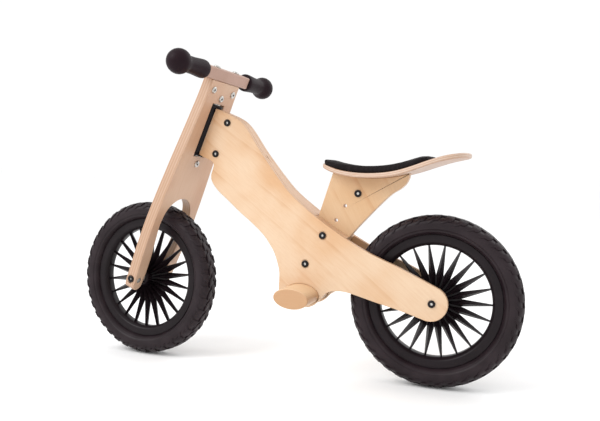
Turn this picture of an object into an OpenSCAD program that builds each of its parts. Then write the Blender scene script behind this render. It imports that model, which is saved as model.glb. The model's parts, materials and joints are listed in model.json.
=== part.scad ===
// Child's wooden balance bike.
// +X points forward, +Y to the rider's left, +Z up. The origin is on the floor, midway between the axles.
// The fork stands turned a few degrees to the rider's right.

/* [Overall] */
// Distance between the two axles
wheelbase = 566; // [480:1:700]
// Outer diameter of the tyres
tyre_d = 300; // [280:1:360]
// Angle of the steering axis above the floor
head_angle = 68.3; // [62:0.1:74]
// How far the fork stands turned to the right
steer_right = 6.3; // [0:0.1:12]

/* [Frame plates] */
// Thickness of each side plate
plate_t = 10; // [8:0.5:12]
// Half width of the moulded block's web, which the plates close on at the head
web_half = 7.5; // [6:0.5:10]
// Distance ahead of the rear axle where the plates start to close in
splay_start = 130; // [110:1:150]
// Radius of the rounded plate end at the rear axle
tail_r = 30; // [24:1:36]
// Lower and upper ends of the plates' head, measured up the steering axis from the axle
head_low = 267.5; // [240:0.5:290]
head_high = 361; // [340:0.5:380]
// Distance of the head bolts behind the steering axis
head_bolt_back = 48; // [40:1:56]

/* [Footrest] */
// Whole length of the footrest bar, side to side
footrest_len = 184; // [150:1:230]
// Width and height of its oval section
footrest_w = 64; // [50:1:74]
footrest_h = 36; // [30:1:42]
// Distance of its centre ahead of the rear axle
footrest_ahead = 233; // [215:1:245]

/* [Seat] */
// Thickness of the seat post
post_t = 14; // [10:0.1:20]
// Thickness of the seat board
seat_t = 8.5; // [7:0.5:12]
// Thickness of the seat pad
pad_t = 11; // [8:0.5:16]
// Whole length of the seat board
seat_len = 258; // [230:1:290]
// Half width of the seat at its nose and at its tail
seat_nose_half = 34; // [28:1:45]
seat_tail_half = 71; // [60:1:85]
// Height of the seat board's underside above the axles, at its lowest point
seat_up = 208; // [195:1:235]
// Distance of that lowest point ahead of the rear axle
seat_ahead = 121; // [110:1:135]
// Spacing of the height holes in the post
hole_pitch = 31; // [26:1:34]

/* [Fork and handlebar] */
// Thickness of the fork panel
board_t = 21; // [17.5:0.1:25.5]
// Half width of the panel at its top edge
panel_top_half = 47; // [44:1:52]
// Half width of the panel at its widest
panel_wide_half = 66; // [62:1:74]
// Width of each leg at the axle
leg_w = 26; // [22:1:30]
// Height of the panel above the plates' head
panel_over = 50; // [44:1:70]
// Height and depth of the handlebar's square middle
bar_h = 22.2; // [20:0.2:26]
bar_d = 24; // [20:0.5:28]
// Half length of that middle
bar_half = 70.5; // [60:0.5:90]
// Centre of each grip's ball end, out from the middle
ball_out = 148; // [135:1:200]
// Radius of the ball ends
ball_r = 22.2; // [20:0.2:26]

/* [Wheels] */
// Half width of the tyre
tyre_half = 24; // [20:0.5:29]
// Height of the tyre above the rim
tyre_h = 34.8; // [29:0.2:42]
// Depth of the rim, from the tyre in to the spokes
rim_h = 18.6; // [15:0.2:23]
// Half width of the rim
rim_half = 13.9; // [12:0.1:15]
// Number of spokes
spokes = 22; // [16:1:26]
// Radius where neighbouring spokes run together
web_r = 45; // [38:1:54]
// Half length of the hub
hub_half = 26; // [21.5:0.5:31.5]

/* [Steel parts] */
// Radius of the axles
axle_r = 4; // [3:0.1:5]
// Radius of the steering rod
rod_r = 6; // [5:0.1:7.5]
// Radius of the frame bolts
bolt_r = 3; // [2.5:0.1:3.7]
// Radius of the bolt heads
cap_r = 6.5; // [5.5:0.1:7.8]
// Radius of the cross dowels in the fork panel
dowel_r = 5; // [4.5:0.1:6]

/* [Hidden] */

$fn = 48;
wood = "#F0DBB4";
wood_edge = "#E8C8A0";
black = "#2B2529";
steel = "#C9C9CC";

slip = 0.06;           // radial clearance of a running fit
drill = 0.1;           // radial clearance of a drilled hole round its bolt
glue = 0.1;            // glue line between boards
play = 0.3;            // gap between pieces that turn past each other
seated = 0.05;         // gap under a head or round a pressed pin
far = 900;             // longer than the bike
axle_z = tyre_d / 2;
bead_r = tyre_d / 2 - tyre_h;
rim_in_r = bead_r - rim_h;
rear_x = -wheelbase / 2;
front_x = wheelbase / 2;
ca = cos(head_angle);
sa = sin(head_angle);
head_mid = (head_low + head_high) / 2;
thin_washer = 0.9;     // least thickness of a wheel's side washer
tyre_room = 3.5;       // from the tyre to a plate
leg_room = 8;          // from the tyre to a fork leg
hub_room = hub_half + 2 * play + thin_washer;
// Half gaps that a wheel stands in, and half widths over the plates
rear_gap_half = max(hub_room, tyre_half + tyre_room);
leg_gap_half = max(hub_room, tyre_half + leg_room);
rear_half = rear_gap_half + plate_t;
head_half = web_half + plate_t;
// Moulded block: a barrel round the rod, flanges above and below the plates' head, a web back to its bolts
barrel_r = rod_r + 5.5;
low_flange_t = 3;
high_flange_t = 5;
block_back = head_bolt_back + 22;
core_drop = 9;         // from the top of the plates' head down to the block's web
// From the steering axis back to the plates' front edge
head_front = max(board_t / 2 + 1.5, barrel_r + 0.5);
// The panel's window, with room at the sides and for a washer past each flange
washer_room = 2;
window_half = head_half + 2;
window_low = head_low - 0.5 - low_flange_t - washer_room;
window_high = head_high + high_flange_t + washer_room;
panel_high = head_high + panel_over;

// ---- points ----
// A point of the frame's side view, "back" behind the steering axis and "up" along it from the axle
function head_pt(back, up) = [front_x - up * ca - back * sa, axle_z + up * sa - back * ca];
// A point of the frame's side view, ahead of the rear axle and above it
function mid_pt(ahead, up) = [rear_x + ahead, axle_z + up];
// The same between the rear axle and the footrest, as a share of the way
function low_pt(share, up) = mid_pt(share * footrest_ahead, up);
function lerp(a, b, t) = a + (b - a) * t;
function smooth(t) = let (c = min(max(t, 0), 1)) c * c * (3 - 2 * c);
function bend(a, b, c, d, t) =
    0.5 * (2 * b + (c - a) * t + (2 * a - 5 * b + 4 * c - d) * t * t + (3 * b - a - 3 * c + d) * t * t * t);
// A smooth curve through the points p, with n steps to each
function curve(p, n) = let (last = len(p) - 1)
    [for (i = [0:last - 1], k = [0:n - 1])
        bend(p[max(i - 1, 0)], p[i], p[i + 1], p[min(i + 2, last)], k / n), p[last]];
function arc(c, r, a0, a1, n) = [for (i = [0:n]) let (a = lerp(a0, a1, i / n)) c + r * [cos(a), sin(a)]];
function flip(p) = [for (i = [len(p) - 1:-1:0]) p[i]];
function mirrored(p) = [for (q = flip(p)) [-q[0], q[1]]];

// ---- frame side view ----
tail = mid_pt(3, -0.5);
footrest_c = mid_pt(footrest_ahead, -3);
footrest_tilt = 4;     // front edge up
// A point of the lobe round the footrest, "out" from its oval by x and z
function lobe_pt(a, out) =
    footrest_c + [(footrest_w / 2 + out[0]) * cos(a), (footrest_h / 2 + out[1]) * sin(a)];
// A point on the way from a to b, by its shares of the way in x and z
function between(a, b, s) = [lerp(a[0], b[0], s[0]), lerp(a[1], b[1], s[1])];
// Where the neck starts, and where it meets the head, above and below
neck_top = [mid_pt(215, 140), head_pt(93, head_high - 13)];
neck_foot = [mid_pt(286.4, 53), head_pt(81, head_low - 47)];
upper_edge = curve([tail + tail_r * [-0.39, 0.92], mid_pt(54, 56), mid_pt(87, 69), mid_pt(121, 84),
    mid_pt(163, 107), neck_top[0], between(neck_top[0], neck_top[1], [0.34, 0.24]),
    between(neck_top[0], neck_top[1], [0.545, 0.443]), between(neck_top[0], neck_top[1], [0.804, 0.743]),
    neck_top[1], head_pt(72, head_high - 3), head_pt(52, head_high)], 5);
lower_edge = curve([head_pt(44, head_low), head_pt(50.5, head_low - 3), head_pt(53, head_low - 11),
    head_pt(55, head_low - 27), head_pt(64, head_low - 38), neck_foot[1],
    for (s = [[0.848, 0.874], [0.64, 0.697], [0.433, 0.541], [0.241, 0.377], [0.138, 0.254], [0.05, 0.123]])
        between(neck_foot[0], neck_foot[1], s),
    neck_foot[0], lobe_pt(0, [16.3, 0]) + [0, 39], lobe_pt(0, [15.5, 0]) + [0, 23],
    lobe_pt(0, [15.5, 0]), lobe_pt(-35, [15, 7]),
    lobe_pt(-62, [11, 6.5]), lobe_pt(-92, [8, 6.5]), lobe_pt(-118, [8, 5.5]), lobe_pt(-146, [4.5, 3]),
    lobe_pt(180, [12, 0]) + [0, 3.5], low_pt(0.763, 6), low_pt(0.719, 7.5), low_pt(0.673, 8),
    low_pt(0.593, 5), low_pt(0.415, -6), low_pt(0.2235, -17), tail + tail_r * [0.25, -0.97]], 4);
tail_edge = arc(tail, tail_r, -82, -240, 14);
plate_outline = concat([head_pt(head_front, head_high), head_pt(head_front, head_low)],
    lower_edge, tail_edge, upper_edge);

// ---- frame top view ----
splay_from = rear_x + splay_start;
splay_to = head_pt(78, head_mid)[0];
function half_w(x) = lerp(rear_half, head_half, smooth((x - splay_from) / (splay_to - splay_from)));
band_x = concat([-far, splay_from], [for (i = [1:15]) lerp(splay_from, splay_to, i / 16)], [splay_to, far]);
function band(inner, outer) =
    concat([for (x = band_x) [x, outer(x)]], [for (x = flip(band_x)) [x, inner(x)]]);
outer_face = function (x) half_w(x);
inner_face = function (x) half_w(x) - plate_t;
cheek_face = function (x) post_t / 2 + glue;
mid_plane = function (x) 0;

// ---- seat ----
seat_z = axle_z + seat_up;
seat_c = [rear_x + seat_ahead, seat_z];
seat_front = 86;       // from the lowest point forward to the nose
// Forward and up from the lowest point, along the underside
seat_sag = [[86, 16.5], [56, 6], [26, 1], [-5, 0], [-35, 2], [-60, 6.5], [-85, 14], [-110, 23],
    [-135, 31], [-156, 35.5], [-172, 38]];
seat_stretch = seat_len / (seat_sag[0][0] - seat_sag[len(seat_sag) - 1][0]);
seat_line = curve([for (p = seat_sag) seat_c + [seat_front + (p[0] - seat_front) * seat_stretch, p[1]]], 3);
pad_share = 0.765;     // share of the seat's length that the pad covers

// ---- seat post ----
low_bolt = mid_pt(228.8, 51.5);
bolt_dir = [-0.5215, 0.8533];
post_top = low_bolt + [-54, 208];
post_end = arc(low_bolt, 11.5, 17.5, -112, 8);
post_rear = curve([mid_pt(181, 71), mid_pt(155, 101), mid_pt(141, 118), mid_pt(122, 139), mid_pt(108, 154),
    mid_pt(94.5, 168), mid_pt(80.5, 181), mid_pt(66.5, 190), mid_pt(57.5, 198), mid_pt(52.5, 206.5),
    mid_pt(50, 217), mid_pt(50, 235)], 3);
post_outline = concat([post_top], post_end, post_rear);

// ---- fork panel front view: y across, then up the steering axis ----
leg_mid = leg_gap_half + leg_w / 2;
panel_side = curve([[panel_top_half, panel_high], [panel_top_half + 0.5, panel_high - 36],
    [lerp(panel_top_half, panel_wide_half, 0.29), 310], [lerp(panel_top_half, panel_wide_half, 0.63), 240],
    [lerp(panel_top_half, panel_wide_half, 0.9), 170], [panel_wide_half, 115], [panel_wide_half - 2, 65],
    [leg_gap_half + leg_w + 2.5, 25], [leg_gap_half + leg_w, -7.5]], 4);
leg_end = arc([leg_mid, -7.5], leg_w / 2, -10, -170, 10);
arch = curve([[leg_gap_half, -7.5], [leg_gap_half, 8], [leg_gap_half, 20], [leg_gap_half + 2, 50],
    [leg_gap_half + 7, 82], [leg_gap_half + 11, 108], [leg_gap_half + 11.5, 125], [40, 144], [30, 159.5],
    [15.5, tyre_d / 2 + 19.5], [0, tyre_d / 2 + 23]], 4);
panel_right = concat(panel_side, leg_end, arch);
top_dowel = [33, panel_high - 18];
mid_dowel = window_high + 12;
low_dowel = window_low - 15;
leg_dowel_r = axle_r + 1;
bar_mid = panel_high + 2 * glue + bar_h / 2;

// ---- placing ----
module at_axle(x) { translate([x, 0, axle_z]) children(); }
// Local X forward, Z up the steering axis, from the front axle
module at_head() { at_axle(front_x) rotate([0, head_angle - 90, 0]) children(); }
module in_fork() { at_head() rotate([0, 0, -steer_right]) children(); }
// A side view drawn in X and Z, made "wide" across the bike
module across(wide) { translate([0, wide / 2, 0]) rotate([90, 0, 0]) linear_extrude(wide) children(); }
module along_y(x, y, z) { translate([x, y, z]) rotate([-90, 0, 0]) children(); }
module sided(left) { if (left) children(); else mirror([0, 1, 0]) children(); }
module both_sides() { for (s = [0, 1]) mirror([0, s, 0]) children(); }

// ---- small steel parts ----
head_t = 2;            // straight part of a bolt's head
head_crown = 1.2;      // sloped part above it
socket_r = 2.6;        // hexagon socket, across its corners
pin_r = 3;             // thin ends of the steering rod
wheel_bush_r = 8;
washer_r = 8.5;
module head() {
    cylinder(r = cap_r, h = head_t);
    translate([0, 0, head_t]) cylinder(r1 = cap_r, r2 = cap_r - 1.5, h = head_crown);
}
// A socket head on the XY plane with its shank below
module bolt(shank) {
    difference() {
        union() {
            head();
            translate([0, 0, -shank]) cylinder(r = bolt_r, h = shank + 1);
        }
        translate([0, 0, 1]) cylinder(r = socket_r, h = 4, $fn = 6);
    }
}
// The cap on the far side, with a sleeve over the bolt's end
module cap_nut(hole_r, depth) {
    difference() {
        head();
        translate([0, 0, -1]) cylinder(r = hole_r, h = depth + 1);
    }
}
module ring(r_in, r_out, h) {
    difference() {
        cylinder(r = r_out, h = h);
        translate([0, 0, -1]) cylinder(r = r_in, h = h + 2);
    }
}

// ---- frame ----
module footrest_oval(extra) {
    translate(footrest_c) rotate([0, 0, footrest_tilt]) polygon([for (a = [0:7.5:352.5])
        [(footrest_w / 2 + extra) * cos(a), (footrest_h / 2 + extra) * sin(a)]]);
}
// Positions of the bolts that clamp the plates, in the side view
head_bolt_ups = [lerp(head_low, head_high, 1 / 6), lerp(head_low, head_high, 5 / 6)];
seat_bolt_at = [low_bolt, low_bolt + 2 * hole_pitch * bolt_dir];
// Height of the flat that each seat bolt's head sits on
function seat_y(p) = half_w(p[0] + cap_r + 1);
module head_bolt_places() {
    for (up = head_bolt_ups) at_head() translate([-head_bolt_back, 0, up]) children();
}
module seat_bolt_places() {
    for (p = seat_bolt_at) translate([p[0], 0, p[1]]) children();
}
module plate(left) {
    sided(left) difference() {
        intersection() {
            across(4 * rear_half) polygon(plate_outline);
            linear_extrude(far) polygon(band(inner_face, outer_face));
        }
        at_head() linear_extrude(far) polygon([[-head_front + 2.4, head_half - 7.8],
            [-head_front - 14.4, head_half + 1.3], [-head_front + 2.4, 2 * head_half]]);
        across(4 * rear_half) footrest_oval(glue);
        head_bolt_places() rotate([90, 0, 0]) cylinder(r = bolt_r + drill, h = far, center = true);
        seat_bolt_places() rotate([90, 0, 0]) cylinder(r = bolt_r + drill, h = far, center = true);
        for (p = seat_bolt_at) along_y(p[0], seat_y(p), p[1]) cylinder(r = cap_r + 1, h = 20);
        at_axle(rear_x) rotate([90, 0, 0]) cylinder(r = axle_r + slip, h = far, center = true);
    }
}
module plate_left() { color(wood) plate(true); }
module plate_right() { color(wood) plate(false); }

// The filler between the plates, from the head back to the seat post
module frame_core() {
    color(wood_edge) difference() {
        intersection() {
            across(4 * rear_half) polygon(plate_outline);
            linear_extrude(far) polygon(concat(band(mid_plane, inner_face),
                [for (p = flip(band(mid_plane, inner_face))) [p[0], -p[1]]]));
            across(4 * rear_half) polygon([post_top + [1, 0], post_end[0] + [1, 0],
                mid_pt(249, 82), mid_pt(339.6, 82), head_pt(0, head_low - 30), head_pt(0, head_high + 90)]);
        }
        at_head() translate([-block_back - play, -far / 2, 0]) cube([far, far, head_high - core_drop + play]);
        at_head() cylinder(r = barrel_r + play + 0.4, h = far);
    }
}
// Boards between the seat post and each plate
module cheek(left) {
    sided(left) difference() {
        intersection() {
            across(4 * rear_half) polygon(plate_outline);
            across(4 * rear_half) polygon(post_outline);
            linear_extrude(far) polygon(band(cheek_face, inner_face));
        }
        seat_bolt_places() rotate([90, 0, 0]) cylinder(r = bolt_r + drill, h = far, center = true);
    }
}
module cheek_left() { color(wood_edge) cheek(true); }
module cheek_right() { color(wood_edge) cheek(false); }
module pivot_block() {
    low = window_low + washer_room;
    high = window_high - washer_room;
    color(black) at_head() difference() {
        union() {
            translate([0, 0, low]) cylinder(r = barrel_r, h = high - low);
            translate([0, 0, low]) cylinder(r = head_half, h = low_flange_t);
            translate([0, 0, high - high_flange_t]) cylinder(r = head_half, h = high_flange_t);
            translate([-block_back, -web_half, head_low + 5])
                cube([block_back, 2 * web_half, head_high - core_drop - head_low - 5]);
        }
        cylinder(r = rod_r + slip, h = far);
        for (up = head_bolt_ups) translate([-head_bolt_back, 0, up]) rotate([90, 0, 0])
            cylinder(r = bolt_r + drill, h = far, center = true);
    }
}
module head_bolts() {
    color(black) for (up = head_bolt_ups) at_head()
        along_y(-head_bolt_back, head_half, up) bolt(2 * head_half + 1.5);
}
module head_nuts() {
    color(black) for (up = head_bolt_ups) at_head() mirror([0, 1, 0])
        along_y(-head_bolt_back, head_half, up) cap_nut(bolt_r + drill, 2);
}
module seat_bolts() {
    color(black) for (p = seat_bolt_at) along_y(p[0], seat_y(p), p[1]) bolt(2 * seat_y(p) + 1.5);
}
module seat_nuts() {
    color(black) for (p = seat_bolt_at) mirror([0, 1, 0])
        along_y(p[0], seat_y(p), p[1]) cap_nut(bolt_r + drill, 2);
}
module footrest() {
    color(wood_edge) across(footrest_len) footrest_oval(0);
}

// ---- seat ----
dowel_at = seat_c + [20, -28];
module seat_post() {
    color(wood) difference() {
        across(post_t) polygon(post_outline);
        // the top follows the seat board
        across(far) polygon(concat(seat_line, [seat_c + [-400, 60], seat_c + [-400, 400],
            seat_c + [400, 400], seat_c + [400, 40]]));
        for (k = [0:4]) let (p = low_bolt + k * hole_pitch * bolt_dir) translate([p[0], 0, p[1]])
            rotate([90, 0, 0]) cylinder(r = bolt_r + drill, h = far, center = true);
        translate([dowel_at[0], 0, dowel_at[1]]) rotate([90, 0, 0])
            cylinder(r = dowel_r + drill, h = far, center = true);
        translate([dowel_at[0], 0, dowel_at[1] - 8]) cylinder(r = bolt_r + drill, h = 60);
    }
}
// Cross dowel in the post, with a head on each face
module seat_dowel() {
    color(black) difference() {
        translate([dowel_at[0], 0, dowel_at[1]]) union() {
            rotate([90, 0, 0]) cylinder(r = dowel_r, h = post_t + 1, center = true);
            both_sides() along_y(0, post_t / 2 + seated, 0) difference() {
                cylinder(r = cap_r, h = 2.4);
                translate([0, 0, 1]) cylinder(r = socket_r, h = 4, $fn = 6);
            }
        }
        translate([dowel_at[0], 0, dowel_at[1] - 8]) cylinder(r = bolt_r + slip, h = 60);
    }
}
// Screw down through the seat board into the cross dowel
screw_top = seat_z + seat_t - 2.2;
screw_head_r = bolt_r + 2.5;
module seat_screw() {
    color(steel) translate([dowel_at[0], 0, 0]) {
        translate([0, 0, dowel_at[1] - 6]) cylinder(r = bolt_r, h = screw_top - dowel_at[1] + 6);
        translate([0, 0, screw_top]) cylinder(r = screw_head_r, h = 2);
    }
}
// Half width of the seat, from x0 at the tail to x1 at the nose; a higher "square" leaves the ends less round
function seat_half(x, x0, x1, in, square) = let (
        full0 = seat_c[0] + seat_front - seat_len,
        t = (x - full0) / seat_len,
        wide = lerp(seat_tail_half, seat_nose_half, smooth((t - 0.12) / 0.8)) - in,
        off = abs(2 * (x - x0) / (x1 - x0) - 1))
    wide * pow(1 - pow(min(off, 1), square), 0.34);
module seat_plan(x0, x1, in, square) {
    n = 22;
    xs = [for (i = [0:n]) lerp(x0, x1, (1 - cos(180 * i / n)) / 2)];
    half = [for (x = xs) seat_half(x, x0, x1, in, square)];
    polygon(concat([for (i = [0:n]) [xs[i], half[i]]], [for (i = [n - 1:-1:1]) [xs[i], -half[i]]]));
}
module seat_layer(low, high) {
    across(far) polygon(concat([for (p = seat_line) p + [0, low]],
        [for (p = flip(seat_line)) p + [0, high]]));
}
nose_x = seat_c[0] + seat_front;
module seat_board() {
    color(wood) difference() {
        intersection() {
            seat_layer(glue, seat_t);
            linear_extrude(far) seat_plan(nose_x - seat_len, nose_x, 0, 7);
        }
        translate([dowel_at[0], 0, seat_z - 5]) cylinder(r = bolt_r + drill, h = 30);
        translate([dowel_at[0], 0, screw_top - seated]) cylinder(r = screw_head_r + 0.2, h = 30);
    }
}
module seat_pad() {
    color(black) intersection() {
        seat_layer(seat_t + glue, seat_t + pad_t);
        linear_extrude(far) seat_plan(nose_x - seat_len * pad_share, nose_x - 3, 5, 14);
    }
}

// ---- wheels ----
module axle_rod(reach) { along_y(0, -reach - 1.5, 0) cylinder(r = axle_r, h = 2 * reach + 2.5); }
// Axle with its socket head, across a wheel's middle; its thinner end takes the nut's cap
module axle_with_head(reach) {
    difference() {
        union() {
            axle_rod(reach);
            along_y(0, reach, 0) head();
        }
        along_y(0, reach + 1, 0) cylinder(r = socket_r, h = 6, $fn = 6);
    }
}
module axle_cap(reach) { mirror([0, 1, 0]) along_y(0, reach, 0) cap_nut(axle_r + slip, 1.7); }
module wheel_bushes() {
    both_sides() along_y(0, 8, 0) ring(axle_r + slip, wheel_bush_r, hub_half + play - 8);
}
module washers(face) {
    both_sides() along_y(0, hub_half + 2 * play, 0) ring(axle_r + slip, washer_r, face - hub_half - 2 * play);
}
// The wheel's moulded centre: rim, spokes and hub
module rim() {
    rotate([90, 0, 0]) {
        rotate_extrude($fn = 96) polygon([[rim_in_r, -tyre_half * 0.27], [rim_in_r, tyre_half * 0.27],
            [rim_in_r + 3.5, rim_half - 1.4], [rim_in_r + 6.5, rim_half], [bead_r - 0.2, rim_half],
            [bead_r - 0.2, rim_half - 1.7], [bead_r - 3.2, rim_half - 1.9], [bead_r - 3.2, 1.9 - rim_half],
            [bead_r - 0.2, 1.7 - rim_half], [bead_r - 0.2, -rim_half], [rim_in_r + 6.5, -rim_half],
            [rim_in_r + 3.5, 1.4 - rim_half]]);
        difference() {
            union() {
                linear_extrude(10, center = true) polygon([for (i = [0:spokes - 1], k = [0:2])
                    let (a = 360 / spokes * (i + (k == 0 ? -0.5 : 0)), side = k == 0 ? 0 : k * 2 - 3,
                        r = k == 0 ? web_r : rim_in_r + 1.5)
                    [r * cos(a) - 1.5 * side * sin(a), r * sin(a) + 1.5 * side * cos(a)]]);
                rotate_extrude() polygon([[7, -hub_half], [14, -hub_half], [18, 3 - hub_half], [27, -14],
                    [web_r + 1, -5], [web_r + 1, 5], [27, 14], [18, hub_half - 3], [14, hub_half],
                    [7, hub_half]]);
            }
            cylinder(r = wheel_bush_r, h = far, center = true);
        }
    }
}
function pow_sign(v, e) = sign(v) * pow(abs(v), e);
tyre_c = bead_r + 15.8;  // where the tyre's section is widest
module tyre() {
    rotate([90, 0, 0]) rotate_extrude($fn = 96) polygon(concat(
        [for (a = [-152:8:152]) [
            tyre_c + pow_sign(cos(a), 0.8) * (abs(a) < 90 ? tyre_d / 2 - tyre_c : 17),
            tyre_half * pow_sign(sin(a), 0.8)]],
        [[bead_r, rim_half - 2], [bead_r - 3.1, rim_half - 2], [bead_r - 3.1, 2 - rim_half],
            [bead_r, 2 - rim_half]]));
}
module rear_axle() { color(steel) at_axle(rear_x) axle_with_head(rear_half); }
module rear_axle_nut() { color(black) at_axle(rear_x) axle_cap(rear_half); }
module rear_washers() { color(steel) at_axle(rear_x) washers(rear_gap_half); }
module rear_rim() { color(black) at_axle(rear_x) rim(); }
module rear_tyre() { color(black) at_axle(rear_x) tyre(); }
module rear_bushes() { color("#D8D5CC") at_axle(rear_x) wheel_bushes(); }
leg_seat = leg_gap_half + leg_w - 1;  // flat that the axle's head sits on
module front_axle() { color(steel) in_fork() axle_with_head(leg_seat); }
module front_axle_nut() { color(black) in_fork() axle_cap(leg_seat); }
module front_spacers() { color(steel) in_fork() washers(leg_gap_half); }
module front_rim() { color(black) in_fork() rim(); }
module front_tyre() { color(black) in_fork() tyre(); }
module front_bushes() { color("#D8D5CC") in_fork() wheel_bushes(); }

// ---- fork ----
module fork_panel() {
    color(wood) in_fork() difference() {
        translate([-board_t / 2, 0, 0]) rotate([90, 0, 90]) linear_extrude(board_t)
            polygon(concat(panel_right, mirrored(panel_right)));
        translate([-board_t, -window_half, window_low])
            cube([2 * board_t, 2 * window_half, window_high - window_low]);
        translate([0, 0, low_dowel + dowel_r + 2]) cylinder(r = rod_r + slip, h = far);
        translate([0, 0, low_dowel - dowel_r - 2]) cylinder(r = pin_r + slip, h = far);
        for (s = [-1, 1]) {
            translate([0, s * top_dowel[0], top_dowel[1] - 6]) cylinder(r = bolt_r + drill, h = far);
            translate([0, s * top_dowel[0], top_dowel[1]]) rotate([0, 90, 0])
                cylinder(r = dowel_r + seated, h = far, center = true);
            translate([0, s * leg_mid, 0]) rotate([0, 90, 0])
                cylinder(r = leg_dowel_r + seated, h = far, center = true);
            translate([0, s * leg_seat, 0]) rotate([-90 * s, 0, 0])
                cylinder(r = cap_r + 0.7, h = 20);
        }
        for (up = [mid_dowel, low_dowel]) translate([0, 0, up]) rotate([0, 90, 0])
            cylinder(r = dowel_r + seated, h = far, center = true);
        rotate([90, 0, 0]) cylinder(r = axle_r + slip, h = far, center = true);
    }
}
// The rod that the frame's head turns on, pinned by a dowel at each end
module pivot_rod() {
    color(steel) in_fork() {
        translate([0, 0, low_dowel - 6]) cylinder(r = pin_r, h = mid_dowel - low_dowel + 12);
        translate([0, 0, low_dowel + dowel_r + 3])
            cylinder(r = rod_r, h = mid_dowel - low_dowel - 2 * dowel_r - 4);
    }
}
module pivot_washers() {
    thick = washer_room - play - seated;
    color(steel) in_fork() for (up = [window_low + seated, window_high - seated - thick])
        translate([0, 0, up]) ring(rod_r + slip, rod_r + 6, thick);
}
// A dowel through the panel with a socket head on its rear face
module panel_dowel(y, up, hole) {
    translate([0, y, up]) difference() {
        union() {
            rotate([0, 90, 0]) cylinder(r = dowel_r, h = board_t, center = true);
            translate([-board_t / 2, 0, 0]) rotate([0, -90, 0]) cylinder(r = cap_r, h = 1.4);
            translate([-board_t / 2 - 1.4, 0, 0]) rotate([0, -90, 0])
                cylinder(r1 = cap_r, r2 = cap_r - 1.6, h = 1.2);
        }
        translate([-board_t / 2 - 0.5, 0, 0]) rotate([0, -90, 0]) cylinder(r = socket_r, h = 9, $fn = 6);
        cylinder(r = hole, h = 40, center = true);
    }
}
module panel_dowels() {
    color(steel) in_fork() {
        for (s = [-1, 1]) panel_dowel(s * top_dowel[0], top_dowel[1], bolt_r + slip);
        for (up = [mid_dowel, low_dowel]) panel_dowel(0, up, pin_r + slip);
    }
}
module leg_dowels() {
    color(steel) in_fork() for (s = [-1, 1]) translate([0, s * leg_mid, 0]) difference() {
        rotate([0, 90, 0]) cylinder(r = leg_dowel_r, h = board_t - 1, center = true);
        translate([-board_t / 2 - 1, -0.6, -leg_dowel_r]) cube([3, 1.2, 2 * leg_dowel_r]);
        rotate([90, 0, 0]) cylinder(r = axle_r + slip, h = far, center = true);
    }
}

// ---- handlebar ----
module handlebar() {
    color(wood) in_fork() translate([0, 0, bar_mid]) difference() {
        union() {
            cube([bar_d, 2 * bar_half, bar_h], center = true);
            rotate([90, 0, 0]) cylinder(r = bar_h / 2 - 0.2, h = 2 * ball_out, center = true);
        }
        for (s = [-1, 1]) translate([0, s * top_dowel[0], -far / 2]) cylinder(r = bolt_r + drill, h = far);
    }
}
module handlebar_bolts() {
    color(steel) in_fork() for (s = [-1, 1])
        translate([0, s * top_dowel[0], bar_mid + bar_h / 2 + seated])
            bolt(bar_mid + bar_h / 2 - top_dowel[1] + 5);
}
// Ball-ended rubber grip: a neck with a rounded inner end, and the ball
module grip(left) {
    reach = ball_out - bar_half - 0.5;
    neck = bar_h / 2 + 3.8;
    join = reach - sqrt(ball_r * ball_r - neck * neck);
    bore = bar_h / 2;
    sided(left) translate([0, bar_half + 0.5, bar_mid]) rotate([-90, 0, 0]) rotate_extrude() polygon(concat(
        [[bore, 0], [neck - 1, 0], [neck + 1.2, 1], [neck + 2.1, 3], [neck + 2.2, 8]],
        [for (t = [0.2:0.2:0.8]) [lerp(neck + 2.2, neck, smooth(t)), lerp(8, join, t)]],
        [for (a = [180 - asin(neck / ball_r):-11:0.5]) [ball_r * sin(a), reach + ball_r * cos(a)]],
        [[0, reach + ball_r], [0, reach + 1], [bore, reach + 1]]));
}
module grip_left() { color(black) in_fork() grip(true); }
module grip_right() { color(black) in_fork() grip(false); }

plate_left();
plate_right();
frame_core();
cheek_left();
cheek_right();
pivot_block();
head_bolts();
head_nuts();
seat_post();
seat_bolts();
seat_nuts();
seat_dowel();
seat_screw();
seat_board();
seat_pad();
footrest();
rear_axle();
rear_axle_nut();
rear_washers();
rear_rim();
rear_tyre();
rear_bushes();
fork_panel();
pivot_rod();
pivot_washers();
panel_dowels();
handlebar();
handlebar_bolts();
grip_left();
grip_right();
front_axle();
front_axle_nut();
front_spacers();
leg_dowels();
front_rim();
front_tyre();
front_bushes();
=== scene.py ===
"""Looks of a child's wooden balance bike: birch plywood, foam tyres, moulded rims and a padded seat."""

import json
import logging
import math
from dataclasses import dataclass, field
from enum import Enum
from typing import Callable, Sequence

import bmesh
import bpy
import numpy as np
from mathutils import Matrix, Vector


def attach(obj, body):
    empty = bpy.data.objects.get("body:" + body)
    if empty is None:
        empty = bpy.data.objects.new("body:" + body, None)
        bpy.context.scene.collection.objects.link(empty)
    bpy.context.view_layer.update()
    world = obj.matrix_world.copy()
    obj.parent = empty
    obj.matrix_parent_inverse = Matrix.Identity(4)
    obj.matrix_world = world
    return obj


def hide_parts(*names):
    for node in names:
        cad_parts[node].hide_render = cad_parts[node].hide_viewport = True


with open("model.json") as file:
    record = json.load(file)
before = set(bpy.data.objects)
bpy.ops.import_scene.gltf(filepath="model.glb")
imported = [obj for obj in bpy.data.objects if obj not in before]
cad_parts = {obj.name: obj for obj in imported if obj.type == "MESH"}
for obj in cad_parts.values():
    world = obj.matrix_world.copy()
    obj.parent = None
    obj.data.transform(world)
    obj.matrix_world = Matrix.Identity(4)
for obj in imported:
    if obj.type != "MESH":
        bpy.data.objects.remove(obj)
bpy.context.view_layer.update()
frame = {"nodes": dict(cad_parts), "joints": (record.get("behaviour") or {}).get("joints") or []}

log = logging.getLogger("balance_bike")
MM = 0.001
SOLID = 4000.0      # ply thickness of solid wood in mm: more than any piece, so that no ply line shows


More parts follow.
